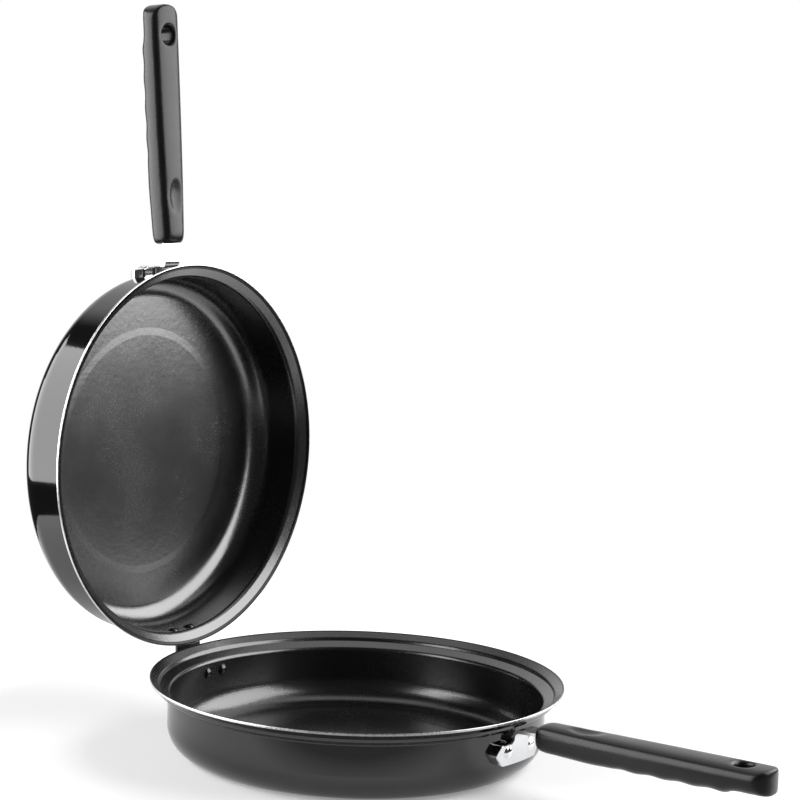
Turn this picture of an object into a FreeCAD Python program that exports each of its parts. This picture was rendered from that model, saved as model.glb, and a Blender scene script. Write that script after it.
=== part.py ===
import FreeCAD, Part
import math
import os

# Double sided flip pan: two shallow frying pans that nest rim to rim on a hinge.
# All sizes are millimetres. The origin is the centre of the lower pan's base, on the table.
# +Z is up, +X runs to the lower handle, and the hinge pin lies along Y behind the pans.
# The pan is drawn open, with the upper half resting on the stop of its hinge.

# Pressed pan bodies, both from the same sheet and the same wall diameter
SHEET = 1.8
WALL_R = 118.5
FLARE_BEND = 2.0
LOWER_DEPTH = 46.8
LOWER_PAN = {"depth": LOWER_DEPTH, "base_bend": 16.6}
UPPER_PAN = {"depth": 42.9, "base_bend": 15.1}
FLOOR_DISC_R = 80.5
FLOOR_DISC_RISE = 0.3
FLOOR_DISC_EDGE = 1.6

# Lower rim: a first flare, a short upright step and a second flare that seats the upper rim
LOWER_RIM_R = 130.0
FLARE_DROP = 9.6
STEP_R = 124.3
STEP_DROP = 6.25
STEP_TOP_R = 125.1
STEP_TOP_DROP = 4.35
LOWER_FLARE_SLOPE = 0.79

# Upper rim: one flare, small enough to drop inside the lower one
UPPER_RIM_R = 125.2
UPPER_FLARE_DROP = 5.65
UPPER_FLARE_SLOPE = 0.70
NEST_DROP = 2.75
RIM_OVERRUN = 3.0

# Hinge pin, leaves and the stop that holds the pan open
OPEN_ANGLE = 92.0
PIN_X = -131.9
PIN_Z = LOWER_DEPTH - 7.4
PIN_R = 2.0
PIN_RUNNING_GAP = 0.05
PIN_HEAD_R = 3.1
PIN_HEAD = 1.1
PIN_END_GAP = 0.15
LEAF = 1.5
LEAF_WIDTH = 23.0
LEAF_BEND = 2.25
KNUCKLE_GAP = 0.3
CENTRE_KNUCKLE = 10.0
SEAM_ANGLE = 70.0
STOP_WIDTH = 9.2
STOP_GAP = 0.32
STOP_REACH = 7.5
RIM_CLEARANCE = 0.5
LOWER_LEAF_FOOT = 24.0
UPPER_LEAF_TOP = 14.2
UPPER_LEAF_BEND = 1.5
LEAF_SEAT_GAP = 0.05
LOWER_HINGE_RIVET_Y = 7.4
LOWER_HINGE_RIVET_DROP = 16.3
UPPER_HINGE_RIVET_Y = 8.0
UPPER_HINGE_RIVET_DROP = 10.0

# Rivets: straight shank, low dome inside the pan, higher dome outside
HANDLE_RIVET = {"shank_r": 2.2, "inner_r": 4.2, "inner_h": 1.3, "outer_r": 3.9, "outer_h": 1.7}
HINGE_RIVET = {"shank_r": 1.6, "inner_r": 3.7, "inner_h": 2.1, "outer_r": 2.5, "outer_h": 1.1}
RIVET_GAP = 0.04
HEAD_SINK = 0.3

# Handle brackets: a flanged plate that stands off the wall, and a tang bent out of it
PLATE = 2.0
STAND_OFF = 5.3
FLANGE = 1.6
PLATE_EDGE_R = 0.5
PLATE_TIP_Y = 23.6
PLATE_SHOULDER_Y = 18.4
PLATE_FOOT_Y = 17.6
PLATE_NECK_Y = 8.4
PLATE_CORNER_R = 3.0
SHOULDER_DROP = 16.8
TIP_DROP = 22.4
PLATE_FOOT_DROP = 29.6
RIVET_PAD_R = 5.0
BRACKET_RIVET_Y = 11.8
BRACKET_RIVET_DROP = 21.6
UPPER_PLATE_SHIFT = 7.7
TANG_WIDTH = 14.0
TANG_BEND = 4.0
TANG_IN_GRIP = 32.0
TANG_OFFSET = 2.2

# Grips: one moulding, fitted to both halves
GRIP_LENGTH = 155.0
GRIP_START_X = 138.2
LOWER_GRIP_DROP = 11.5
LOWER_GRIP_TILT = 1.15
UPPER_GRIP_DROP = 20.2
UPPER_GRIP_TILT = -2.6
GRIP_HALF_WIDTH = 13.0
GRIP_NARROWING = 3.3
NARROWING_RUN = 55.0
THUMB_Z = 9.2
THUMB_FALL = 0.008
FINGER_Z = 9.4
FINGER_TAPER = 1.2
PALM_SWELL = 0.5
PALM_PLACE = 38.0
PALM_RUN = 12.0
FINGER_START = 54.0
FINGER_PITCH = 19.3
FINGER_COUNT = 4
FINGER_HOLLOW = 0.45
TAIL_FROM = 128.0
TAIL_RUN = 6.0
TAIL_STEP = 1.7
NOSE_RUN = 7.0
NOSE_SIDE = 0.8
NOSE_THUMB = 3.2
NOSE_FINGER = 1.8
RIDGE_Z = 2.0
RIDGE_LEAN = 0.8
SECTION_FULLNESS = 0.78
END_DEPTH = 10.5
DIMPLE_FROM_END = 31.0
DIMPLE_LENGTH = 24.0
DIMPLE_WIDTH = 14.0
DIMPLE_DEPTH = 2.4
HANG_FROM_END = 20.0
HANG_R = 6.0
HANG_ROUND = 2.2
SLOT_GAP = 0.1

# Screw that holds the tang, sunk in the finger side of the grip
SCREW_FROM_END = 13.0
SCREW_R = 2.0
SCREW_HEAD_R = 3.6
SCREW_HEAD = 2.6
SCREW_SEAT_Z = -4.4
SCREW_TIP_Z = 4.4
COUNTERBORE_R = 4.2
WASHER_R = 3.9
WASHER = 0.8


def vec(x, z, y=0.0):
    """A point given by its place in the XZ plane."""
    return FreeCAD.Vector(x, y, z)


def rounded_face(corners):
    """Plane face in XZ from corners (x, z, radius), each rounded by a tangent arc."""
    points = [vec(x, z) for x, z, radius in corners]
    count = len(points)
    edges = []
    stops = []
    for k, point in enumerate(points):
        radius = corners[k][2]
        back = (points[k - 1] - point).normalize()
        ahead = (points[(k + 1) % count] - point).normalize()
        if radius < 1e-6:
            stops.append((point, point, None))
            continue
        half = back.getAngle(ahead) / 2.0
        reach = radius / math.tan(half)
        middle = (back + ahead).normalize()
        crown = point + middle * (radius / math.sin(half) - radius)
        stops.append((point + back * reach, point + ahead * reach, crown))
    for k, (entry, leave, crown) in enumerate(stops):
        if crown is not None:
            edges.append(Part.Arc(entry, crown, leave).toShape())
        following = stops[(k + 1) % count][0]
        if (following - leave).Length > 1e-6:
            edges.append(Part.LineSegment(leave, following).toShape())
    return Part.Face(Part.Wire(Part.__sortEdges__(edges)))


def sheet_face(points, thickness):
    """Section of bent sheet along the mid line points (x, z, bend radius)."""
    line = [vec(x, z) for x, z, bend in points]
    sides = {1: [], -1: []}
    for k, point in enumerate(line):
        runs = []
        if k > 0:
            runs.append((point - line[k - 1]).normalize())
        if k < len(line) - 1:
            runs.append((line[k + 1] - point).normalize())
        normals = [vec(run.z, -run.x) for run in runs]
        first = normals[0]
        last = normals[-1]
        mitre = (first + last) * (thickness / 2.0 / (1.0 + first.dot(last)))
        turn = runs[0].x * runs[-1].z - runs[0].z * runs[-1].x
        for side in sides:
            corner = point + mitre * side
            bend = points[k][2]
            radius = 0.0
            if bend > 0.0:
                radius = bend + math.copysign(thickness / 2.0, turn) * side
            sides[side].append((corner.x, corner.z, radius))
    return rounded_face(sides[1] + sides[-1][::-1])


def spread(face, y_low, y_high):
    """Extrude a face of the XZ plane between two values of Y."""
    solid = face.extrude(FreeCAD.Vector(0, y_high - y_low, 0))
    solid.translate(FreeCAD.Vector(0, y_low, 0))
    return solid


def lathe(face):
    """Turn a face of the XZ plane about the Z axis."""
    return face.revolve(FreeCAD.Vector(0, 0, 0), FreeCAD.Vector(0, 0, 1), 360)


def box(x, y, z):
    """Box between pairs of X, Y and Z."""
    corner = FreeCAD.Vector(x[0], y[0], z[0])
    return Part.makeBox(x[1] - x[0], y[1] - y[0], z[1] - z[0], corner)


def aim(shape, place, direction):
    """Move a shape made about +Z so that its axis runs from place along direction."""
    turned = shape.copy()
    turn = FreeCAD.Rotation(FreeCAD.Vector(0, 0, 1), direction)
    turned.Placement = FreeCAD.Placement(place, turn)
    return turned


def one_piece(shapes):
    """Join the stretches of one sheet and clear the seams between them."""
    joined = shapes[0].multiFuse(shapes[1:])
    return joined.removeSplitter()


# Pans, drawn with the middle of the rim plane at the origin and the base below

def pan_body(pan, rim_points, slope, rim_r, holes):
    """Pressed pan whose flare is turned off at its rim radius and faced off level."""
    depth = pan["depth"]
    mid_r = WALL_R - SHEET / 2.0
    last_r, last_z, last_bend = rim_points[-1]
    beyond = rim_r + RIM_OVERRUN
    points = [(0.0, -depth + SHEET / 2.0, 0.0), (mid_r, -depth + SHEET / 2.0, pan["base_bend"])]
    points += rim_points
    points.append((beyond, last_z + (beyond - last_r) * slope, 0.0))
    blank = lathe(sheet_face(points, SHEET))
    turned = Part.makeCylinder(rim_r, depth, FreeCAD.Vector(0, 0, -depth))
    body = blank.common(turned).cut(Part.makeCompound(holes))
    return one_piece([body, floor_disc(SHEET - depth)])


def floor_disc(floor_z):
    """Raised middle of the floor, with a shallow slope round its edge."""
    top = floor_z + FLOOR_DISC_RISE
    low = floor_z - FLOOR_DISC_RISE
    far = FLOOR_DISC_R + FLOOR_DISC_EDGE
    corners = [(0.0, low, 0.0), (far, low, 0.0), (FLOOR_DISC_R - FLOOR_DISC_EDGE, top, 3.0), (0.0, top, 0.0)]
    return lathe(rounded_face(corners))


def outer_bend(pan):
    """Radius of the outside of a pan's base bend."""
    return pan["base_bend"] + SHEET / 2.0


def wall_seat(pan, y, drop, side):
    """Point on the outside of a pan's wall, and the way out from it: side is 1 at the handle."""
    bend = outer_bend(pan)
    past = max(drop - (pan["depth"] - bend), 0.0)
    lean = math.asin(past / bend)
    radius = WALL_R - bend * (1.0 - math.cos(lean))
    point = vec(side * math.sqrt(radius * radius - y * y), -drop, y)
    level = vec(point.x, 0.0, y).normalize()
    return point, level * math.cos(lean) - vec(0.0, math.sin(lean))


def off_wall(pan, point):
    """Distance of a point from the outside of the wall, or from its base bend."""
    bend = outer_bend(pan)
    across = math.hypot(point.x, point.y) - WALL_R + bend
    below = min(point.z + pan["depth"] - bend, 0.0)
    return math.hypot(across, below) - bend


def wall_skin(pan, near, far):
    """Turned body that follows the outside of a wall, between two distances off it."""
    middle = (near + far) / 2.0
    mid_r = WALL_R + middle
    mid_z = -pan["depth"] - middle
    points = [(mid_r, 0.0, 0.0), (mid_r, mid_z, outer_bend(pan) + middle), (WALL_R / 2.0, mid_z, 0.0)]
    skin = lathe(sheet_face(points, far - near))
    skin.rotate(FreeCAD.Vector(0, 0, 0), FreeCAD.Vector(0, 0, 1), 180)
    return skin


def rivet_holes(rivet, pan, y, drop, side):
    """The pair of holes for a pair of rivets, through wall and plate."""
    holes = []
    for across in (-y, y):
        point, out = wall_seat(pan, across, drop, side)
        holes.append(Part.makeCylinder(rivet["shank_r"] + RIVET_GAP, 20.0, point - out * 10.0, out))
    return holes


def rivet_solid(rivet, stack):
    """Rivet about +Z through a stack of sheets that starts at z = 0."""
    shank = rivet["shank_r"]
    pieces = [Part.makeCylinder(shank, stack)]
    heads = ((rivet["inner_r"], rivet["inner_h"], 0.0, -1), (rivet["outer_r"], rivet["outer_h"], stack, 1))
    for head_r, head_h, seat, way in heads:
        ball_r = (head_r * head_r + head_h * head_h) / (2.0 * head_h)
        dome = Part.makeSphere(ball_r, vec(0.0, seat + way * (head_h - ball_r)))
        low = min(seat, seat + way * head_h)
        dome = dome.common(Part.makeCylinder(head_r, head_h, vec(0.0, low)))
        sunk = Part.makeCylinder(head_r, HEAD_SINK, vec(0.0, min(seat, seat - way * HEAD_SINK)))
        pieces += [dome, sunk]
    return one_piece(pieces)


def rivet_pair(rivet, pan, stack, y, drop, side, around):
    """Left and right rivet of a pair, headed over against the pieces around them."""
    pair = []
    for across in (-y, y):
        point, out = wall_seat(pan, across, drop, side)
        raw = aim(rivet_solid(rivet, stack), point - out * SHEET, out)
        pair.append(max(raw.cut(around).Solids, key=lambda solid: solid.Volume))
    return pair


# Handle brackets, in the rim plane's frame of their own half

def face_mid_r():
    """Radius of the mid line of the plate's face, off the wall."""
    return WALL_R + STAND_OFF - PLATE / 2.0


def plate_outline(bend_drop, shift, inset):
    """Prism of the plate's outline, looked at along X, drawn in by the inset."""
    half = [
        (TANG_WIDTH / 2.0, -bend_drop, 0.0),
        (PLATE_NECK_Y, -SHOULDER_DROP - shift, PLATE_CORNER_R),
        (PLATE_SHOULDER_Y, -SHOULDER_DROP - shift, PLATE_CORNER_R),
        (PLATE_TIP_Y, -TIP_DROP - shift, PLATE_CORNER_R),
        (PLATE_FOOT_Y, -PLATE_FOOT_DROP - shift, PLATE_CORNER_R),
    ]
    mirrored = [(-y, z, radius) for y, z, radius in half[::-1]]
    face = rounded_face(half + mirrored)
    if inset > 0.0:
        face = Part.Face(face.OuterWire.makeOffset2D(-inset))
    outline = spread(face, 0.0, WALL_R + 20.0)
    outline.rotate(FreeCAD.Vector(0, 0, 0), FreeCAD.Vector(0, 0, 1), -90)
    return outline


def plate_tray(pan, bend_drop, shift):
    """Face of the plate with the flange round it, open to the wall, and its rivet pads."""
    tray = plate_outline(bend_drop, shift, 0.0).common(wall_skin(pan, 0.0, STAND_OFF))
    tray = tray.makeFillet(PLATE_EDGE_R, [edge for edge in tray.Edges if is_face_edge(pan, edge)])
    hollow = plate_outline(bend_drop, shift, FLANGE).common(wall_skin(pan, -1.0, STAND_OFF - PLATE))
    hollow = hollow.cut(box((0.0, WALL_R + 9.0), (-30.0, 30.0), (-bend_drop - FLANGE, 0.0)))
    for across in (-BRACKET_RIVET_Y, BRACKET_RIVET_Y):
        point, out = wall_seat(pan, across, BRACKET_RIVET_DROP + shift, 1)
        hollow = hollow.cut(Part.makeCylinder(RIVET_PAD_R, STAND_OFF + 4.0, point - out * 2.0, out))
    return tray.cut(hollow)


def is_face_edge(pan, edge):
    """Whether an edge bounds the outer face of the plate below its neck."""
    middle = edge.valueAt((edge.FirstParameter + edge.LastParameter) / 2.0)
    points = [vertex.Point for vertex in edge.Vertexes] + [middle]
    if min(off_wall(pan, point) for point in points) < STAND_OFF - 0.01:
        return False
    return max(abs(point.y) for point in points) > TANG_WIDTH / 2.0 + 0.01 or middle.z < -PLATE_FOOT_DROP


def bracket(pan, tang_z, tilt, shift):
    """Pressed bracket: the flanged plate, and the tang bent out of its top edge."""
    bend_drop = tang_z + TANG_BEND
    mid_x = face_mid_r()
    reach = GRIP_START_X + TANG_IN_GRIP - mid_x
    rise = math.tan(math.radians(tilt)) * reach
    points = [(mid_x, -bend_drop - PLATE, 0.0), (mid_x, -tang_z, TANG_BEND)]
    points.append((mid_x + reach, -tang_z + rise, 0.0))
    tang = spread(sheet_face(points, PLATE), -TANG_WIDTH / 2.0, TANG_WIDTH / 2.0)
    return one_piece([plate_tray(pan, bend_drop, shift), tang])


def tang_drop(grip_drop, tilt):
    """Depth of the tang's mid line where it leaves the plate, below the rim plane."""
    run = GRIP_START_X - face_mid_r()
    return grip_drop - TANG_OFFSET + math.tan(math.radians(tilt)) * run


# Grip, drawn along +X from its pan end, with the thumb side up

def grip_section(station, half_width, top, bottom):
    """Closed section of the moulding, with a parting ridge along each side."""
    wires = []
    for side in (1, -1):
        for crest in (top, bottom):
            lean = half_width - RIDGE_LEAN
            rise = RIDGE_Z + SECTION_FULLNESS * (crest - RIDGE_Z)
            poles = [
                FreeCAD.Vector(station, side * half_width, RIDGE_Z),
                FreeCAD.Vector(station, side * lean, rise),
                FreeCAD.Vector(station, side * half_width * SECTION_FULLNESS, crest),
                FreeCAD.Vector(station, 0, crest),
            ]
            curve = Part.BezierCurve()
            curve.setPoles(poles)
            wires.append(curve.toShape())
    return Part.Wire(Part.__sortEdges__(wires))


def grip_stations():
    """Stations of the grip: place, half width, and the heights of its thumb and finger sides."""
    places = [0.0, 0.8, 2.2, 4.2, NOSE_RUN, 12.0, 18.0, 24.0, 30.0, 36.0, 42.0, 48.0]
    step = FINGER_PITCH / 4.0
    count = int(round((GRIP_LENGTH + 3.0 - FINGER_START) / step))
    places += [FINGER_START + step * k for k in range(count + 1)]
    stations = []
    for place in places:
        nose = 0.0
        if place < NOSE_RUN:
            nose = 1.0 - math.sqrt(1.0 - (1.0 - place / NOSE_RUN) ** 2)
        half_width = GRIP_HALF_WIDTH - GRIP_NARROWING * math.exp(-place / NARROWING_RUN) - NOSE_SIDE * nose
        thumb = THUMB_Z - THUMB_FALL * place - NOSE_THUMB * nose
        finger = FINGER_Z - FINGER_TAPER * math.exp(-place / 20.0)
        finger += PALM_SWELL * math.exp(-((place - PALM_PLACE) / PALM_RUN) ** 2)
        along = (place - FINGER_START) / FINGER_PITCH
        if 0.0 < along < FINGER_COUNT:
            finger -= FINGER_HOLLOW * math.sin(2.0 * math.pi * along)
        fade = min(max((place - TAIL_FROM) / TAIL_RUN, 0.0), 1.0)
        finger -= TAIL_STEP * fade * fade * (3.0 - 2.0 * fade)
        stations.append((place, half_width, thumb, NOSE_FINGER * nose - finger))
    return stations


def end_outline():
    """Plan of the grip, straight at the pan and closed by half an ellipse at the far end."""
    centre = FreeCAD.Vector(GRIP_LENGTH - END_DEPTH, 0, 0)
    ellipse = Part.Ellipse(centre, GRIP_HALF_WIDTH, END_DEPTH)
    ellipse.rotate(FreeCAD.Placement(centre, FreeCAD.Rotation(90, 0, 0), FreeCAD.Vector(0, 0, 0)))
    tip = Part.ArcOfEllipse(ellipse, math.pi, 2.0 * math.pi).toShape()
    ends = [vertex.Point for vertex in tip.Vertexes]
    back = [FreeCAD.Vector(-1.0, point.y, 0) for point in ends]
    edges = [tip, Part.LineSegment(ends[1], back[1]).toShape(), Part.LineSegment(back[1], back[0]).toShape()]
    edges.append(Part.LineSegment(back[0], ends[0]).toShape())
    face = Part.Face(Part.Wire(Part.__sortEdges__(edges)))
    solid = face.extrude(FreeCAD.Vector(0, 0, 40))
    solid.translate(FreeCAD.Vector(0, 0, -20))
    return solid


def dimple_tool(top):
    """Spindle that hollows the oval thumb rest."""
    swing = (DIMPLE_WIDTH ** 2 / 4.0 + DIMPLE_DEPTH ** 2) / (2.0 * DIMPLE_DEPTH)
    lift = swing - DIMPLE_DEPTH
    left = vec(DIMPLE_FROM_END - DIMPLE_LENGTH / 2.0, top)
    right = vec(DIMPLE_FROM_END + DIMPLE_LENGTH / 2.0, top)
    crown = vec(DIMPLE_FROM_END, top - DIMPLE_DEPTH)
    arc = Part.Arc(left, crown, right).toShape()
    up_left = left + vec(0.0, lift)
    up_right = right + vec(0.0, lift)
    lines = [Part.LineSegment(right, up_right).toShape(), Part.LineSegment(up_right, up_left).toShape()]
    lines.append(Part.LineSegment(up_left, left).toShape())
    face = Part.Face(Part.Wire(Part.__sortEdges__([arc] + lines)))
    return face.revolve(up_left, FreeCAD.Vector(1, 0, 0), 360)


def hanging_tool():
    """Through hole for a hook, its two mouths rounded over."""
    place_x = GRIP_LENGTH - HANG_FROM_END
    top = THUMB_Z - THUMB_FALL * place_x
    bottom = TAIL_STEP - FINGER_Z
    wide = HANG_R + HANG_ROUND + 1.0
    outline = [(0.0, bottom - 1.0, 0.0), (wide, bottom - 1.0, 0.0), (wide, bottom, 0.0)]
    outline += [(HANG_R, bottom, HANG_ROUND), (HANG_R, top, HANG_ROUND)]
    outline += [(wide, top, 0.0), (wide, top + 1.0, 0.0), (0.0, top + 1.0, 0.0)]
    tool = lathe(rounded_face(outline))
    tool.translate(vec(place_x, 0.0))
    return tool


def grip_body():
    """Moulded grip with its thumb rest, finger hollows, hanging hole, slot and screw hole."""
    sections = [grip_section(*station) for station in grip_stations()]
    body = Part.makeLoft(sections, True, False)
    body = body.common(end_outline())
    body = body.cut(dimple_tool(THUMB_Z - THUMB_FALL * DIMPLE_FROM_END))
    body = body.cut(hanging_tool())
    slot_half = PLATE / 2.0 + SLOT_GAP
    across = TANG_WIDTH / 2.0 + SLOT_GAP
    slot = box((-1.0, TANG_IN_GRIP + 1.0), (-across, across), (TANG_OFFSET - slot_half, TANG_OFFSET + slot_half))
    bore = Part.makeCylinder(SCREW_R + 0.1, SCREW_TIP_Z + 0.4 - SCREW_SEAT_Z, vec(SCREW_FROM_END, SCREW_SEAT_Z))
    mouth = Part.makeCylinder(COUNTERBORE_R, 15.0, vec(SCREW_FROM_END, SCREW_SEAT_Z - 15.0))
    return body.cut(slot).cut(bore).cut(mouth)


def grip_screw():
    """Pan head machine screw, driven up through the grip into the tapped tang."""
    head_z = SCREW_SEAT_Z - WASHER
    shank = Part.makeCylinder(SCREW_R, SCREW_TIP_Z - head_z, vec(SCREW_FROM_END, head_z))
    corners = [(0.0, head_z, 0.0), (SCREW_HEAD_R, head_z, 0.0)]
    corners += [(SCREW_HEAD_R, head_z - SCREW_HEAD, 1.2), (0.0, head_z - SCREW_HEAD, 0.0)]
    head = lathe(rounded_face(corners))
    head.translate(FreeCAD.Vector(SCREW_FROM_END, 0, 0))
    recess = Part.makeCylinder(1.6, 1.4, vec(SCREW_FROM_END, head_z - SCREW_HEAD))
    return one_piece([shank, head]).cut(recess)


def grip_washer():
    """Flat washer under the screw head."""
    low = SCREW_SEAT_Z - WASHER
    ring = Part.makeCylinder(WASHER_R, WASHER, vec(SCREW_FROM_END, low))
    return ring.cut(Part.makeCylinder(SCREW_R + 0.15, WASHER, vec(SCREW_FROM_END, low)))


def seat_grip(shape, drop, tilt):
    """Bring a piece of the grip to its place beside the wall, in the rim plane's frame."""
    seated = shape.copy()
    seated.rotate(FreeCAD.Vector(0, 0, 0), FreeCAD.Vector(0, 1, 0), -tilt)
    seated.translate(vec(GRIP_START_X, -drop))
    return seated


# Hinge, drawn closed in the frame of the whole pan

def knuckle_mid_r():
    """Radius of the mid line of the rolled eyes."""
    return PIN_R + PIN_RUNNING_GAP + LEAF / 2.0


def knuckle(seam_from, y_low, y_high):
    """Eye rolled round the pin, open at a seam that starts at the given angle."""
    inner = PIN_R + PIN_RUNNING_GAP
    width = y_high - y_low
    pin = vec(PIN_X, PIN_Z, y_low)
    along = FreeCAD.Vector(0, 1, 0)
    ring = Part.makeCylinder(inner + LEAF, width, pin, along)
    ring = ring.cut(Part.makeCylinder(inner, width, pin, along))
    corners = [pin]
    for ray in (math.radians(seam_from), math.radians(seam_from + SEAM_ANGLE)):
        corners.append(pin + vec(math.cos(ray), math.sin(ray)) * (3.0 * inner))
    seam = Part.Face(Part.makePolygon(corners + [pin]))
    return ring.cut(seam.extrude(along * width))


def saddle(y_low, y_high, z_low, z_high):
    """Pad of a leaf, flat outside and cut to the curve of the wall inside."""
    block = box((-WALL_R - LEAF, -WALL_R + 2.0), (y_low, y_high), (z_low, z_high))
    return block.cut(Part.makeCylinder(WALL_R, 3.0 * LOWER_DEPTH))


def lower_leaf():
    """Leaf with two rolled outer knuckles and the stop tongue between them."""
    mid_x = -WALL_R - LEAF / 2.0
    arm_z = PIN_Z - knuckle_mid_r()
    slope = math.tan(math.radians(OPEN_ANGLE - 90.0))
    stop_drop = (knuckle_mid_r() + LEAF + STOP_GAP) * math.hypot(1.0, slope)
    corner_z = PIN_Z - stop_drop + slope * (mid_x - PIN_X)
    tip_z = PIN_Z - stop_drop - slope * STOP_REACH
    foot_z = LOWER_LEAF_FOOT
    arm = sheet_face([(mid_x, foot_z, 0.0), (mid_x, arm_z, LEAF_BEND), (PIN_X, arm_z, 0.0)], LEAF)
    tongue = sheet_face([(mid_x, foot_z, 0.0), (mid_x, corner_z, LEAF_BEND), (PIN_X - STOP_REACH, tip_z, 0.0)], LEAF)
    half = LEAF_WIDTH / 2.0
    side = CENTRE_KNUCKLE / 2.0 + KNUCKLE_GAP
    stop = STOP_WIDTH / 2.0
    low_top = corner_z - LEAF_BEND
    high_top = arm_z - LEAF_BEND
    pieces = [saddle(-half, half, foot_z, low_top), spread(tongue, -stop, stop)]
    for y_low, y_high in ((-half, -side), (side, half)):
        pieces += [saddle(y_low, y_high, foot_z, high_top), spread(arm, y_low, y_high)]
        pieces.append(knuckle(270.0, y_low, y_high))
    return one_piece(pieces)


def upper_leaf():
    """Leaf that reaches over both rims, with the centre knuckle at its end."""
    rim_z = LOWER_DEPTH - NEST_DROP
    mid_x = -WALL_R - LEAF / 2.0
    outer_x = PIN_X - knuckle_mid_r()
    over_z = LOWER_DEPTH + RIM_CLEARANCE + LEAF / 2.0
    stack = (SHEET + LEAF) / 2.0
    above = (stack + LEAF_SEAT_GAP) * math.hypot(1.0, UPPER_FLARE_SLOPE)
    wall_z = rim_z + UPPER_FLARE_DROP + above - stack * UPPER_FLARE_SLOPE
    over_x = mid_x - (wall_z - over_z) / UPPER_FLARE_SLOPE
    top_z = rim_z + UPPER_LEAF_TOP
    wide = [(outer_x, over_z - LEAF_BEND - 1.0, 0.0), (outer_x, over_z, LEAF_BEND)]
    wide += [(over_x, over_z, LEAF_BEND), (mid_x, wall_z, UPPER_LEAF_BEND), (mid_x, top_z, 0.0)]
    neck = [(outer_x, PIN_Z, 0.0), (outer_x, over_z - LEAF_BEND, 0.0)]
    half = LEAF_WIDTH / 2.0
    centre = CENTRE_KNUCKLE / 2.0
    pieces = [spread(sheet_face(wide, LEAF), -half, half), spread(sheet_face(neck, LEAF), -centre, centre)]
    pieces.append(saddle(-half, half, wall_z + UPPER_LEAF_BEND, top_z))
    pieces.append(knuckle(180.0 - SEAM_ANGLE, -centre, centre))
    return one_piece(pieces)


def hinge_pin():
    """Pin with both ends peened over the outer knuckles."""
    run = LEAF_WIDTH + 2.0 * PIN_END_GAP
    shaft = Part.makeCylinder(PIN_R, run, vec(0.0, -run / 2.0))
    pieces = [shaft]
    for way in (-1, 1):
        seat = way * run / 2.0
        corners = [(0.0, seat, 0.0), (PIN_HEAD_R, seat, 0.0), (PIN_HEAD_R, seat + way * PIN_HEAD, 0.8)]
        corners.append((0.0, seat + way * PIN_HEAD, 0.0))
        pieces.append(lathe(rounded_face(corners)))
    return aim(one_piece(pieces), vec(PIN_X, PIN_Z), FreeCAD.Vector(0, 1, 0))


# Placing of the two halves

def lift_lower(shape):
    """From the rim plane's frame to the lower half's place."""
    placed = shape.copy()
    placed.translate(vec(0.0, LOWER_DEPTH))
    return placed


def flip_upper(shape):
    """From the rim plane's frame to the upper half's place on the closed pan."""
    placed = shape.copy()
    placed.rotate(FreeCAD.Vector(0, 0, 0), FreeCAD.Vector(1, 0, 0), 180)
    placed.translate(vec(0.0, LOWER_DEPTH - NEST_DROP))
    return placed


def swing_open(shape):
    """Swing a piece of the closed upper half back about the pin, on to the stop."""
    placed = shape.copy()
    placed.rotate(vec(PIN_X, PIN_Z), FreeCAD.Vector(0, 1, 0), -OPEN_ANGLE)
    return placed


def handle_pieces(name, pan, body, grip_drop, tilt, shift):
    """Bracket, grip and fastenings of one half, in the rim plane's frame."""
    rivet_drop = BRACKET_RIVET_DROP + shift
    holes = Part.makeCompound(rivet_holes(HANDLE_RIVET, pan, BRACKET_RIVET_Y, rivet_drop, 1))
    thread = Part.makeCylinder(SCREW_R + 0.02, 20.0, vec(SCREW_FROM_END, -10.0))
    arm = bracket(pan, tang_drop(grip_drop, tilt), tilt, shift)
    arm = arm.cut(holes).cut(seat_grip(thread, grip_drop, tilt))
    around = Part.makeCompound([body, arm])
    stack = SHEET + STAND_OFF
    rivets = rivet_pair(HANDLE_RIVET, pan, stack, BRACKET_RIVET_Y, rivet_drop, 1, around)
    return {
        name + "_handle_bracket": arm,
        name + "_handle_rivet_left": rivets[0],
        name + "_handle_rivet_right": rivets[1],
        name + "_handle_grip": seat_grip(grip_body(), grip_drop, tilt),
        name + "_handle_screw": seat_grip(grip_screw(), grip_drop, tilt),
        name + "_handle_washer": seat_grip(grip_washer(), grip_drop, tilt),
    }


def hinge_pieces(name, pan, body, leaf, y, drop):
    """Drilled leaf and its rivets for one half, in the rim plane's frame."""
    drilled = leaf.cut(Part.makeCompound(rivet_holes(HINGE_RIVET, pan, y, drop, -1)))
    around = Part.makeCompound([body, drilled])
    rivets = rivet_pair(HINGE_RIVET, pan, SHEET + LEAF, y, drop, -1, around)
    return {
        name + "_hinge_leaf": drilled,
        name + "_hinge_rivet_left": rivets[0],
        name + "_hinge_rivet_right": rivets[1],
    }


def lower_half():
    """The half that stands on the table, with the pin in its leaf."""
    rim = [(WALL_R - SHEET / 2.0, -FLARE_DROP, FLARE_BEND)]
    rim += [(STEP_R, -STEP_DROP, FLARE_BEND), (STEP_TOP_R, -STEP_TOP_DROP, FLARE_BEND)]
    pan = LOWER_PAN
    holes = rivet_holes(HANDLE_RIVET, pan, BRACKET_RIVET_Y, BRACKET_RIVET_DROP, 1)
    holes += rivet_holes(HINGE_RIVET, pan, LOWER_HINGE_RIVET_Y, LOWER_HINGE_RIVET_DROP, -1)
    body = pan_body(pan, rim, LOWER_FLARE_SLOPE, LOWER_RIM_R, holes)
    leaf = lower_leaf()
    leaf.translate(vec(0.0, -LOWER_DEPTH))
    pieces = {"lower_pan": body}
    pieces.update(handle_pieces("lower", pan, body, LOWER_GRIP_DROP, LOWER_GRIP_TILT, 0.0))
    pieces.update(hinge_pieces("lower", pan, body, leaf, LOWER_HINGE_RIVET_Y, LOWER_HINGE_RIVET_DROP))
    placed = {node: lift_lower(shape) for node, shape in pieces.items()}
    placed["hinge_pin"] = hinge_pin()
    return placed


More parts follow.
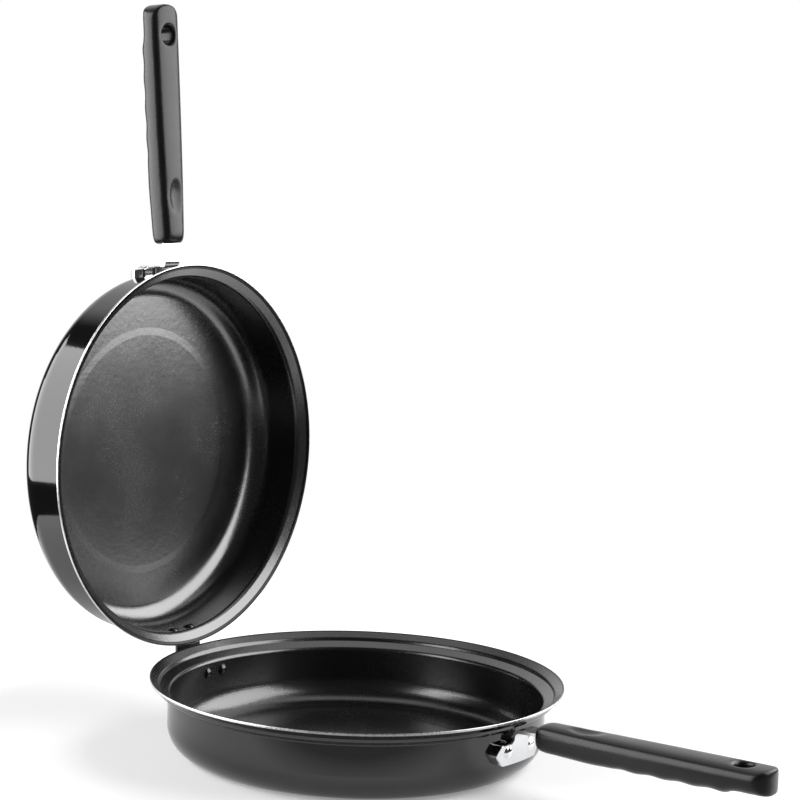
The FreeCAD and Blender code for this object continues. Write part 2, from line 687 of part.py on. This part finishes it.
def upper_half():
    """The half that swings over, drawn open on its stop."""
    rim = [(WALL_R - SHEET / 2.0, -UPPER_FLARE_DROP, FLARE_BEND)]
    pan = UPPER_PAN
    holes = rivet_holes(HANDLE_RIVET, pan, BRACKET_RIVET_Y, BRACKET_RIVET_DROP + UPPER_PLATE_SHIFT, 1)
    holes += rivet_holes(HINGE_RIVET, pan, UPPER_HINGE_RIVET_Y, UPPER_HINGE_RIVET_DROP, -1)
    body = pan_body(pan, rim, UPPER_FLARE_SLOPE, UPPER_RIM_R, holes)
    leaf = upper_leaf()
    leaf.translate(vec(0.0, NEST_DROP - LOWER_DEPTH))
    leaf.rotate(FreeCAD.Vector(0, 0, 0), FreeCAD.Vector(1, 0, 0), 180)
    pieces = {"upper_pan": body}
    pieces.update(handle_pieces("upper", pan, body, UPPER_GRIP_DROP, UPPER_GRIP_TILT, UPPER_PLATE_SHIFT))
    pieces.update(hinge_pieces("upper", pan, body, leaf, UPPER_HINGE_RIVET_Y, UPPER_HINGE_RIVET_DROP))
    return {node: swing_open(flip_upper(shape)) for node, shape in pieces.items()}


def main():
    os.makedirs("parts", exist_ok=True)
    pieces = lower_half()
    pieces.update(upper_half())
    for node, shape in sorted(pieces.items()):
        solids = shape.Solids
        print(node, "solids", len(solids), "valid", shape.isValid(), "volume", round(shape.Volume, 1))
        solids[0].exportStep(os.path.join("parts", node + ".step"))


main()
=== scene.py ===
import math

import bpy
from mathutils import Matrix, Vector


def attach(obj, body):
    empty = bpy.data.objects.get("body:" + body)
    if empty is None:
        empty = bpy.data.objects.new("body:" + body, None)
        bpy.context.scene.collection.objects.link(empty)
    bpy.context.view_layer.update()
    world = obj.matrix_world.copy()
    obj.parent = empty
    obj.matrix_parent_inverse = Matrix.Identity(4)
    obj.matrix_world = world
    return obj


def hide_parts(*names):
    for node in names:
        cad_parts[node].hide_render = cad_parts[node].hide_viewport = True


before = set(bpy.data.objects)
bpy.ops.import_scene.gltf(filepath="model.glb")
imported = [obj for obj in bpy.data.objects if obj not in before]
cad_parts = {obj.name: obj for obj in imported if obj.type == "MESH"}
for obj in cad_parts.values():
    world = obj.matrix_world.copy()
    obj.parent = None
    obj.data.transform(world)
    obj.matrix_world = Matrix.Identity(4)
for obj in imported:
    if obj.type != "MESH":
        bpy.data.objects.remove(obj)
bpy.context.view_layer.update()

# The object and its reliefs are sized in millimetres, the camera, floor and lamps in metres
MM = 0.001

# Sheet of the pans, bent along a mid line of (radius, height, bend radius) with the rim plane at zero
SHEET = 1.8
LOWER_DEPTH = 46.8
LOWER_RIM_R = 130.0
LOWER_LINE = [
    (0.0, -45.9, 0.0),
    (117.6, -45.9, 16.6),
    (117.6, -9.6, 2.0),
    (124.3, -6.25, 2.0),
    (125.1, -4.35, 2.0),
    (133.0, 1.891, 0.0),
]
UPPER_RIM_R = 125.2
UPPER_LINE = [
    (0.0, -42.0, 0.0),
    (117.6, -42.0, 15.1),
    (117.6, -5.65, 3.5),
    (128.2, 1.77, 0.0),
]

# Disc raised in each floor, as (radius, rise, rounding)
FLOOR_DISC = [(77.0, 0.15, 10.0), (82.0, 0.0, 10.0)]

# Rounding of the level rim at its inner side and at its turned edge
LAND_ROUND = 2.0
EDGE_ROUND = 0.4

# Width of the enamel between the level rim and the coating, and between base bend and turned base
LOWER_BORDER = 0.5
UPPER_BORDER = 1.5
BASE_BORDER = 0.6

# Turned meshes: points round a pan, turn from point to point of a bend, and fewest steps of a bend
TURN_STEPS = 288
ARC_STEP = math.radians(5.0)
LEAST_ARC_STEPS = 4

# Least length of a flat that gets extra points, their distance from its ends, largest radius
# that counts as the axis, and angle from which an edge stays crisp
LONG_RUN = 1.2
SUPPORT = 0.3
ON_AXIS = 1e-6
SHARP = math.radians(40.0)

# Place of the upper pan: nested on the lower rim, then opened about the hinge pin
NESTED_HEIGHT = 44.05
OPEN_ANGLE = math.radians(92.0)
PIN = Vector((-131.9, 0.0, 39.4))

# Fineness of the skin over the moulded grips, and strength and rounds of the easing of its edges
GRIP_SKIN = 0.6
GRIP_EASING = 0.5
GRIP_ROUNDS = 65

# Refractive index and roughness of the enamel and of the coatings
ENAMEL_INDEX = 1.6
LAND_INDEX = 1.3
LOWER_COATING_INDEX = 1.85
UPPER_COATING_INDEX = 2.1
WALL_ROUGHNESS = 0.05
LAND_ROUGHNESS = 0.22
LEAF_ROUGHNESS = 0.24
RIVET_ROUGHNESS = 0.12

# Range that most of a noise lies in
NOISE_RANGE = (0.3, 0.7)

# Camera, with its focal length in pixels of the square picture and its sensor in millimetres
CAMERA_AZIMUTH = math.radians(35.755)
CAMERA_ELEVATION = math.radians(7.605)
CAMERA_ROLL = math.radians(2.06)
CAMERA_DISTANCE = 1.47733
CAMERA_TARGET = Vector((0.02529, 0.0, 0.22583))
FOCAL_PIXELS = 2410.97
IMAGE_PIXELS = 800.0
SENSOR = 36.0
CLIP = (0.05, 50.0)

# Level directions to the right of the main view and to its front
VIEW_RIGHT = Vector((math.cos(CAMERA_AZIMUTH), math.sin(CAMERA_AZIMUTH), 0.0))
VIEW_FRONT = Vector((math.sin(CAMERA_AZIMUTH), -math.cos(CAMERA_AZIMUTH), 0.0))
UP = Vector((0.0, 0.0, 1.0))

# Floor disc, just under the base of the pan
FLOOR_R = 0.46
FLOOR_STEPS = 128
FLOOR_DROP = 0.0003

# Floor paper: its grey behind and in front of the span in which it darkens towards the front
FLOOR_PALE = 0.78
FLOOR_DARK = 0.3
FLOOR_MOTTLE = 0.01
FLOOR_ROUGHNESS = 0.9
FRONT_FADE = (0.155, 0.22)

# Glow of the floor, which grows with the distance from the middle until it is white
GLOW = (0.25, 1.0)
GLOW_FADE = (0.26, FLOOR_R)

# World: light on matt surfaces, the dark part that polished ones mirror, and the white part,
# which ends within these spans to both sides and towards the front
WHITE = (1.0, 1.0, 1.0, 1.0)
AMBIENT = 0.1
DARK_ROOM = 0.06
SWEEP_EDGE = (0.6, 0.42)
SWEEP_END = (-0.2, 0.05)

# Lamps: azimuth from +X in degrees, low and high edge as (distance, height), and width
LEFT_FRONT_LAMP = (-138.0, (1.7, -0.2), (1.45, 1.52), 2.5)
BACK_RIGHT_LAMP = (43.0, (1.0, 0.2), (0.78, 1.2), 1.4)

# Radiance of the lamps, and the power that a face needs for each unit of radiance and area
LAMP_RADIANCE = 3.8
LAMP_POWER = 4.0


# Profiles and turned meshes

def sheet_side(line, side):
    """Corners (radius, height, rounding) of one face of the sheet: 1 outside, -1 inside."""
    corners = []
    for k, (radius, height, bend) in enumerate(line):
        here = Vector((radius, height))
        runs = []
        if k > 0:
            runs.append((here - Vector(line[k - 1][:2])).normalized())
        if k < len(line) - 1:
            runs.append((Vector(line[k + 1][:2]) - here).normalized())
        first = Vector((runs[0].y, -runs[0].x))
        last = Vector((runs[-1].y, -runs[-1].x))
        mitre = (first + last) * (SHEET / 2.0 / (1.0 + first.dot(last)))
        corner = here + mitre * side
        rounding = 0.0
        if bend > 0.0:
            turn = runs[0].x * runs[-1].y - runs[0].y * runs[-1].x
            rounding = bend + math.copysign(SHEET / 2.0, turn) * side
        corners.append((corner.x, corner.y, rounding))
    return corners


def pan_corners(line, rim_r, border):
    """Corners and zones of the whole section: inside, level land, turned edge, outside and base."""
    inside = sheet_side(line, -1)
    outside = sheet_side(line, 1)
    slope = (line[-1][1] - line[-2][1]) / (line[-1][0] - line[-2][0])
    # The flare is cut level in the rim plane and upright at the rim radius
    land_r = inside[-1][0] - inside[-1][1] / slope
    edge_z = outside[-1][1] - (outside[-1][0] - rim_r) * slope
    floor_z = inside[0][1]
    corners = [(0.0, floor_z + FLOOR_DISC[0][1], 0.0, "inside")]
    corners += [(r, floor_z + rise, rounding, "inside") for r, rise, rounding in FLOOR_DISC]
    corners += [(r, z, rounding, "inside") for r, z, rounding in inside[1:-1]]
    corners.append((land_r - border, -border * slope, 0.0, "land"))
    corners.append((land_r, 0.0, LAND_ROUND, "land"))
    corners.append((rim_r, 0.0, EDGE_ROUND, "edge"))
    corners.append((rim_r, edge_z, EDGE_ROUND, "outside"))
    corners += [(r, z, rounding, "outside") for r, z, rounding in outside[-2:0:-1]]
    bend_r, base_z, bend = outside[1]
    corners.append((bend_r - bend - BASE_BORDER, base_z, 0.0, "base"))
    corners.append((*outside[0], "base"))
    return corners


def rounded_line(corners):
    """Points along the corners with their zone, each corner turned by an arc."""
    line = []
    for k, (r, z, rounding, zone) in enumerate(corners):
        here = Vector((r, z))
        if rounding == 0.0:
            line.append((here, zone))
            continue
        back = (Vector(corners[k - 1][:2]) - here).normalized()
        ahead = (Vector(corners[k + 1][:2]) - here).normalized()
        sweep = math.pi - back.angle(ahead)
        start = here + back * (rounding * math.tan(sweep / 2.0))
        centre = here + (back + ahead).normalized() * (rounding / math.cos(sweep / 2.0))
        way = math.copysign(1.0, back.y * ahead.x - back.x * ahead.y)
        steps = max(LEAST_ARC_STEPS, math.ceil(sweep / ARC_STEP))
        for step in range(steps + 1):
            spoke = start - centre
            spoke.rotate(Matrix.Rotation(way * sweep * step / steps, 2))
            line.append((centre + spoke, zone))
    return line


def supported(line):
    """The same points with one more near each end of a long run, to keep it flat."""
    points = [line[0]]
    for (start, zone), (end, end_zone) in zip(line, line[1:]):
        run = end - start
        if run.length > LONG_RUN:
            points.append((start + run.normalized() * SUPPORT, zone))
            points.append((end - run.normalized() * SUPPORT, zone))
        points.append((end, end_zone))
    return points


def circle(radius, height, steps):
    """Points of a level circle about Z, all in metres."""
    angles = [2.0 * math.pi * step / steps for step in range(steps)]
    return [(radius * math.cos(angle), radius * math.sin(angle), height) for angle in angles]


def turned_mesh(name, line, zones):
    """Mesh of a line of points turned about Z, with one material for each zone."""
    verts = []
    rings = []
    for point, zone in line:
        if point.x < ON_AXIS:
            rings.append([len(verts)] * TURN_STEPS)
            verts.append((0.0, 0.0, point.y * MM))
            continue
        rings.append(list(range(len(verts), len(verts) + TURN_STEPS)))
        verts += circle(point.x * MM, point.y * MM, TURN_STEPS)
    faces = []
    owners = []
    names = list(zones)
    for k in range(len(rings) - 1):
        for step in range(TURN_STEPS):
            after = (step + 1) % TURN_STEPS
            face = [rings[k][step], rings[k + 1][step], rings[k + 1][after], rings[k][after]]
            faces.append(list(dict.fromkeys(face)))
            owners.append(names.index(line[k][1]))
    mesh = bpy.data.meshes.new(name)
    mesh.from_pydata(verts, [], faces)
    for material in zones.values():
        mesh.materials.append(material)
    mesh.polygons.foreach_set("material_index", owners)
    mesh.polygons.foreach_set("use_smooth", [True] * len(faces))
    mesh.update()
    mesh.set_sharp_from_angle(angle=SHARP)
    return mesh


# Node trees

class Nodes:
    """Node tree with short ways to add the nodes that are used here."""

    def __init__(self, tree):
        self.tree = tree

    def node(self, kind, inputs=None, **settings):
        """New node with these settings, each input linked or set to a value."""
        made = self.tree.nodes.new(kind)
        for key, value in settings.items():
            setattr(made, key, value)
        for key, value in (inputs or {}).items():
            if isinstance(value, bpy.types.NodeSocket):
                self.tree.links.new(value, made.inputs[key])
            else:
                made.inputs[key].default_value = value
        return made

    def maths(self, first, second, operation="ADD"):
        """Sum, or another operation, of two values."""
        return self.node("ShaderNodeMath", {0: first, 1: second}, operation=operation).outputs[0]

    def ramp(self, value, low, high, to_low=0.0, to_high=1.0, curve="LINEAR"):
        """Value between low and high stretched over another range, and held at its ends."""
        inputs = {"Value": value, "From Min": low, "From Max": high, "To Min": to_low, "To Max": to_high}
        return self.node("ShaderNodeMapRange", inputs, interpolation_type=curve).outputs["Result"]

    def mix(self, factor, first, second):
        """Value that moves from the first to the second."""
        inputs = {"Factor": factor, "A": first, "B": second}
        return self.node("ShaderNodeMix", inputs).outputs["Result"]

    def along(self, vector, axis):
        """Part of a vector along an axis."""
        made = self.node("ShaderNodeVectorMath", {0: vector, 1: axis}, operation="DOT_PRODUCT")
        return made.outputs["Value"]

    def rays(self):
        """Camera rays, and the rays mirrored or let through by the object."""
        kinds = self.node("ShaderNodeLightPath").outputs
        mirrored = self.maths(kinds["Is Glossy Ray"], kinds["Is Transmission Ray"], "MAXIMUM")
        return kinds["Is Camera Ray"], mirrored


class Finish(Nodes):
    """Node material around one Principled shader, textured in the object's own space."""

    def __init__(self, name, **values):
        self.material = bpy.data.materials.new(name)
        self.material.use_nodes = True
        super().__init__(self.material.node_tree)
        self.shader = self.tree.nodes["Principled BSDF"]
        self.place = self.node("ShaderNodeTexCoord").outputs["Object"]
        self.heights = []
        for socket, value in values.items():
            self.shader.inputs[socket.replace("_", " ")].default_value = value

    def drive(self, socket, value):
        """Link a value to a socket of the shader."""
        self.tree.links.new(value, self.shader.inputs[socket])

    def stretched(self, scale):
        """The object's space scaled along each axis."""
        return self.node("ShaderNodeMapping", {"Vector": self.place, "Scale": scale}).outputs[0]

    def noise(self, scale, detail=3.0, place=None):
        """Noise with features about one over scale metres wide."""
        inputs = {"Vector": place or self.place, "Scale": scale, "Detail": detail}
        return self.node("ShaderNodeTexNoise", inputs).outputs["Fac"]

    def specks(self, scale, size):
        """Scattered specks that fade out from 1, with size as a part of their spacing."""
        inputs = {"Vector": self.place, "Scale": scale}
        distance = self.node("ShaderNodeTexVoronoi", inputs).outputs["Distance"]
        return self.ramp(distance, 0.0, size, 1.0, 0.0)

    def spread(self, noise, low, high):
        """Noise stretched over a range."""
        return self.ramp(noise, *NOISE_RANGE, low, high)

    def part(self, value, share):
        """A share of a value between 0 and 1."""
        return self.ramp(value, 0.0, 1.0, 0.0, share)

    def colour(self, factor, dark, light):
        """Colour that moves between two colours."""
        inputs = {"Factor": factor, "A": (*dark, 1.0), "B": (*light, 1.0)}
        return self.node("ShaderNodeMix", inputs, data_type="RGBA").outputs["Result"]

    def bump(self, height, depth):
        """Relief of a depth in millimetres, added over the reliefs set before it."""
        inputs = {"Height": height, "Distance": depth * MM, "Strength": 1.0}
        if self.heights:
            inputs["Normal"] = self.heights[-1]
        self.heights.append(self.node("ShaderNodeBump", inputs).outputs["Normal"])
        self.drive("Normal", self.heights[-1])


# Materials

def enamel(name, roughness, index=ENAMEL_INDEX):
    """Black stove enamel with a faint orange peel, fine wiping marks and dust specks."""
    finish = Finish(name, IOR=index)
    cloud = finish.noise(35.0, 4.0)
    peel = finish.noise(420.0, 2.0)
    specks = finish.specks(900.0, 0.12)
    finish.drive("Base Color", finish.colour(cloud, (0.0010, 0.0010, 0.0011), (0.0022, 0.0022, 0.0024)))
    wiped = finish.spread(cloud, roughness, roughness + 0.035)
    finish.drive("Roughness", finish.maths(wiped, finish.part(specks, 0.05)))
    finish.bump(peel, 0.012)
    return finish.material


def turned_base():
    """Enamel over the fine turning rings of the base, dulled where it stands on the hob."""
    finish = Finish("turned_base", IOR=1.5)
    cloud = finish.noise(60.0, 4.0)
    flat = finish.stretched((1.0, 1.0, 0.0))
    rings = finish.node(
        "ShaderNodeTexWave",
        {"Vector": flat, "Scale": 95.0, "Distortion": 0.15},
        wave_type="RINGS",
        rings_direction="SPHERICAL",
    ).outputs["Fac"]
    finish.drive("Base Color", finish.colour(cloud, (0.008, 0.008, 0.0085), (0.011, 0.011, 0.011)))
    finish.drive("Roughness", finish.spread(cloud, 0.27, 0.31))
    finish.bump(rings, 0.06)
    finish.bump(finish.noise(1500.0), 0.01)
    return finish.material


def nonstick(name, index):
    """Sprayed non-stick coating: satin dark grey with fine grain and faint flecks."""
    finish = Finish(name, IOR=index)
    cloud = finish.noise(22.0, 4.0)
    grain = finish.noise(1100.0)
    flecks = finish.specks(700.0, 0.16)
    shade = finish.maths(finish.spread(grain, 0.0, 0.7), finish.part(flecks, 0.5))
    finish.drive("Base Color", finish.colour(shade, (0.0008, 0.0008, 0.0009), (0.0032, 0.0032, 0.0034)))
    worn = finish.spread(cloud, 0.22, 0.27)
    finish.drive("Roughness", finish.maths(worn, finish.spread(grain, -0.03, 0.03)))
    finish.bump(grain, 0.015)
    finish.bump(finish.noise(260.0, 2.0), 0.06)
    return finish.material


def bare_edge():
    """Bare aluminium of the turned rim edge, with fine tool lines round it."""
    finish = Finish("bare_edge", Metallic=1.0, IOR=1.4)
    lines = finish.noise(1.0, 2.0, finish.stretched((60.0, 60.0, 9000.0)))
    wear = finish.noise(500.0)
    finish.drive("Base Color", finish.colour(wear, (0.62, 0.62, 0.63), (0.76, 0.76, 0.765)))
    finish.drive("Roughness", finish.spread(wear, 0.22, 0.38))
    finish.bump(lines, 0.02)
    return finish.material


def steel(name, dark, light, polish, stretch):
    """Steel with a soft waviness and a fine grain, longest along the axis stretched least."""
    finish = Finish(name, Metallic=1.0, IOR=1.5)
    grain = finish.noise(1.0, 3.0, finish.stretched(stretch))
    cloud = finish.noise(90.0)
    finish.drive("Base Color", finish.colour(cloud, dark, light))
    polished = finish.spread(cloud, *polish)
    finish.drive("Roughness", finish.maths(polished, finish.spread(grain, -0.02, 0.03)))
    finish.bump(grain, 0.006)
    finish.bump(finish.noise(160.0, 1.0), 0.03)
    return finish.material


def plate_steel():
    """Polished plate of the brackets, with hairlines along one axis."""
    drawn = (1500.0, 1500.0, 60.0)
    return steel("polished_steel", (0.66, 0.665, 0.68), (0.76, 0.765, 0.77), (0.06, 0.11), drawn)


def rivet_metal():
    """Bright metal of the handle rivets."""
    even = (500.0, 500.0, 500.0)
    return steel("rivet_metal", (0.82, 0.82, 0.83), (0.92, 0.92, 0.925), (0.08, 0.16), even)


def fastener_steel():
    """Plain steel of the pin, the screws and the washers."""
    even = (900.0, 900.0, 900.0)
    return steel("fastener_steel", (0.55, 0.555, 0.565), (0.68, 0.68, 0.69), (0.2, 0.32), even)


def moulding():
    """Satin black handle moulding with fine tool grain and slightly rubbed high spots."""
    finish = Finish("grip_moulding", IOR=1.42)
    cloud = finish.noise(30.0, 4.0)
    grain = finish.noise(1800.0)
    finish.drive("Base Color", finish.colour(cloud, (0.0045, 0.0045, 0.0048), (0.0085, 0.0085, 0.0088)))
    rubbed = finish.spread(cloud, 0.26, 0.33)
    finish.drive("Roughness", finish.maths(rubbed, finish.spread(grain, -0.03, 0.03)))
    finish.bump(grain, 0.03)
    finish.bump(finish.noise(120.0, 2.0), 0.06)
    return finish.material


# The object

def pan(name, line, rim_r, border, coating_index, placement, body, node):
    """Turned pan in place of its CAD node, riding on the same body."""
    zones = {
        "inside": nonstick(name + "_nonstick", coating_index),
        "land": enamel(name + "_land", LAND_ROUGHNESS, LAND_INDEX),
        "edge": bare_edge(),
        "outside": enamel(name + "_enamel", WALL_ROUGHNESS),
        "base": turned_base(),
    }
    points = supported(rounded_line(pan_corners(line, rim_r, border)))
    piece = bpy.data.objects.new(name, turned_mesh(name, points, zones))
    bpy.context.scene.collection.objects.link(piece)
    piece.matrix_world = placement
    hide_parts(node)
    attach(piece, body)


def build_pans():
    """Lower pan on its base, and upper pan turned over, nested and opened about the pin."""
    lift = Matrix.Translation(UP * (LOWER_DEPTH * MM))
    lower = (LOWER_LINE, LOWER_RIM_R, LOWER_BORDER, LOWER_COATING_INDEX)
    pan("lower_pan_turned", *lower, lift, "lower_half", "lower_pan")
    nested = Matrix.Translation(UP * (NESTED_HEIGHT * MM)) @ Matrix.Rotation(math.pi, 4, "X")
    pin = PIN * MM
    swing = Matrix.Translation(pin) @ Matrix.Rotation(-OPEN_ANGLE, 4, "Y") @ Matrix.Translation(-pin)
    upper = (UPPER_LINE, UPPER_RIM_R, UPPER_BORDER, UPPER_COATING_INDEX)
    pan("upper_pan_turned", *upper, swing @ nested, "upper_half", "upper_pan")


def finish_cad_nodes():
    """A finish for every node that stays, by the last of these words in its name."""
    plain = fastener_steel()
    finishes = {
        "bracket": plate_steel(),
        "rivet": rivet_metal(),
        "pin": plain,
        "screw": plain,
        "washer": plain,
        "leaf": enamel("leaf_enamel", LEAF_ROUGHNESS),
        "grip": moulding(),
        "hinge_rivet": enamel("hinge_rivet_enamel", RIVET_ROUGHNESS),
    }
    for name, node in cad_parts.items():
        for word, material in finishes.items():
            if word in name:
                for place in node.material_slots:
                    place.material = material


def round_grips():
    """Even skin over the moulded grips, eased until their edges and ends are well rounded."""
    for name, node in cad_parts.items():
        if name.endswith("grip"):
            skin = node.modifiers.new("even_skin", "REMESH")
            skin.mode = "VOXEL"
            skin.voxel_size = GRIP_SKIN * MM
            skin.use_smooth_shade = True
            ease = node.modifiers.new("rounding", "SMOOTH")
            ease.factor = GRIP_EASING
            ease.iterations = GRIP_ROUNDS


# Floor, world, lamps and camera

def build_floor():
    """Pale round floor, just below the base of the pan, darker towards its front."""
    mesh = bpy.data.meshes.new("floor")
    mesh.from_pydata(circle(FLOOR_R, -FLOOR_DROP, FLOOR_STEPS), [], [list(range(FLOOR_STEPS))])
    finish = Finish("floor_paper", Roughness=FLOOR_ROUGHNESS, Emission_Color=WHITE)
    fade = finish.ramp(finish.along(finish.place, VIEW_FRONT), *FRONT_FADE)
    mottle = finish.ramp(finish.noise(5.0, 2.0), 0.0, 1.0, -FLOOR_MOTTLE, FLOOR_MOTTLE)
    shade = finish.maths(fade, mottle)
    finish.drive("Base Color", finish.colour(shade, [FLOOR_PALE] * 3, [FLOOR_DARK] * 3))
    camera, mirrored = finish.rays()
    mirrored = finish.maths(mirrored, finish.ramp(fade, 0.0, 1.0, 1.0, 0.0), "MULTIPLY")
    seen = finish.maths(camera, mirrored, "MAXIMUM")
    away = finish.node("ShaderNodeVectorMath", {0: finish.place}, operation="LENGTH").outputs["Value"]
    glow = finish.ramp(away, *GLOW_FADE, *GLOW)
    finish.drive("Emission Strength", finish.maths(seen, glow, "MULTIPLY"))
    mesh.materials.append(finish.material)
    floor = bpy.data.objects.new("floor", mesh)
    bpy.context.scene.collection.objects.link(floor)


def build_world():
    """White for the camera, and for mirrored rays a white sweep behind and over the object."""
    world = bpy.data.worlds.new("studio")
    bpy.context.scene.world = world
    world.use_nodes = True
    world.cycles.sampling_method = "NONE"
    nodes = Nodes(world.node_tree)
    direction = nodes.node("ShaderNodeTexCoord").outputs["Generated"]
    aside = nodes.maths(nodes.along(direction, VIEW_RIGHT), 0.0, "ABSOLUTE")
    width = nodes.ramp(aside, *SWEEP_EDGE, curve="SMOOTHSTEP")
    depth = nodes.ramp(nodes.along(direction, -VIEW_FRONT), *SWEEP_END, curve="SMOOTHSTEP")
    sweep = nodes.maths(nodes.maths(width, depth, "MULTIPLY"), DARK_ROOM, "MAXIMUM")
    camera, mirrored = nodes.rays()
    strength = nodes.mix(camera, nodes.mix(mirrored, AMBIENT, sweep), 1.0)
    background = world.node_tree.nodes["Background"]
    background.inputs["Color"].default_value = WHITE
    world.node_tree.links.new(strength, background.inputs["Strength"])


def softbox(name, azimuth, low, high, width):
    """Rectangular lamp between its low and its high edge, facing the object."""
    out = Vector((math.cos(math.radians(azimuth)), math.sin(math.radians(azimuth)), 0.0))
    bottom = out * low[0] + UP * low[1]
    top = out * high[0] + UP * high[1]
    upward = (top - bottom).normalized()
    across = UP.cross(out)
    lamp = bpy.data.lights.new(name, "AREA")
    lamp.shape = "RECTANGLE"
    lamp.size = width
    lamp.size_y = (top - bottom).length
    lamp.energy = LAMP_POWER * LAMP_RADIANCE * lamp.size * lamp.size_y
    holder = bpy.data.objects.new(name, lamp)
    bpy.context.scene.collection.objects.link(holder)
    turn = Matrix((across, upward, across.cross(upward))).transposed().to_4x4()
    holder.matrix_world = Matrix.Translation((bottom + top) / 2.0) @ turn
    holder.visible_camera = False


def build_camera():
    """Camera at its distance from the target, rolled about its own axis."""
    data = bpy.data.cameras.new("camera")
    data.sensor_width = SENSOR
    data.lens = FOCAL_PIXELS / IMAGE_PIXELS * SENSOR
    data.clip_start, data.clip_end = CLIP
    camera = bpy.data.objects.new("camera", data)
    bpy.context.scene.collection.objects.link(camera)
    back = VIEW_FRONT * math.cos(CAMERA_ELEVATION) + UP * math.sin(CAMERA_ELEVATION)
    up = back.cross(VIEW_RIGHT)
    across = VIEW_RIGHT * math.cos(CAMERA_ROLL) + up * math.sin(CAMERA_ROLL)
    upward = up * math.cos(CAMERA_ROLL) - VIEW_RIGHT * math.sin(CAMERA_ROLL)
    turn = Matrix((across, upward, back)).transposed().to_4x4()
    camera.matrix_world = Matrix.Translation(CAMERA_TARGET + back * CAMERA_DISTANCE) @ turn
    bpy.context.scene.camera = camera


build_pans()
finish_cad_nodes()
round_grips()
build_floor()
build_world()
softbox("left_front", *LEFT_FRONT_LAMP)
softbox("back_right", *BACK_RIGHT_LAMP)
build_camera()
bpy.context.scene.view_settings.view_transform = "Standard"
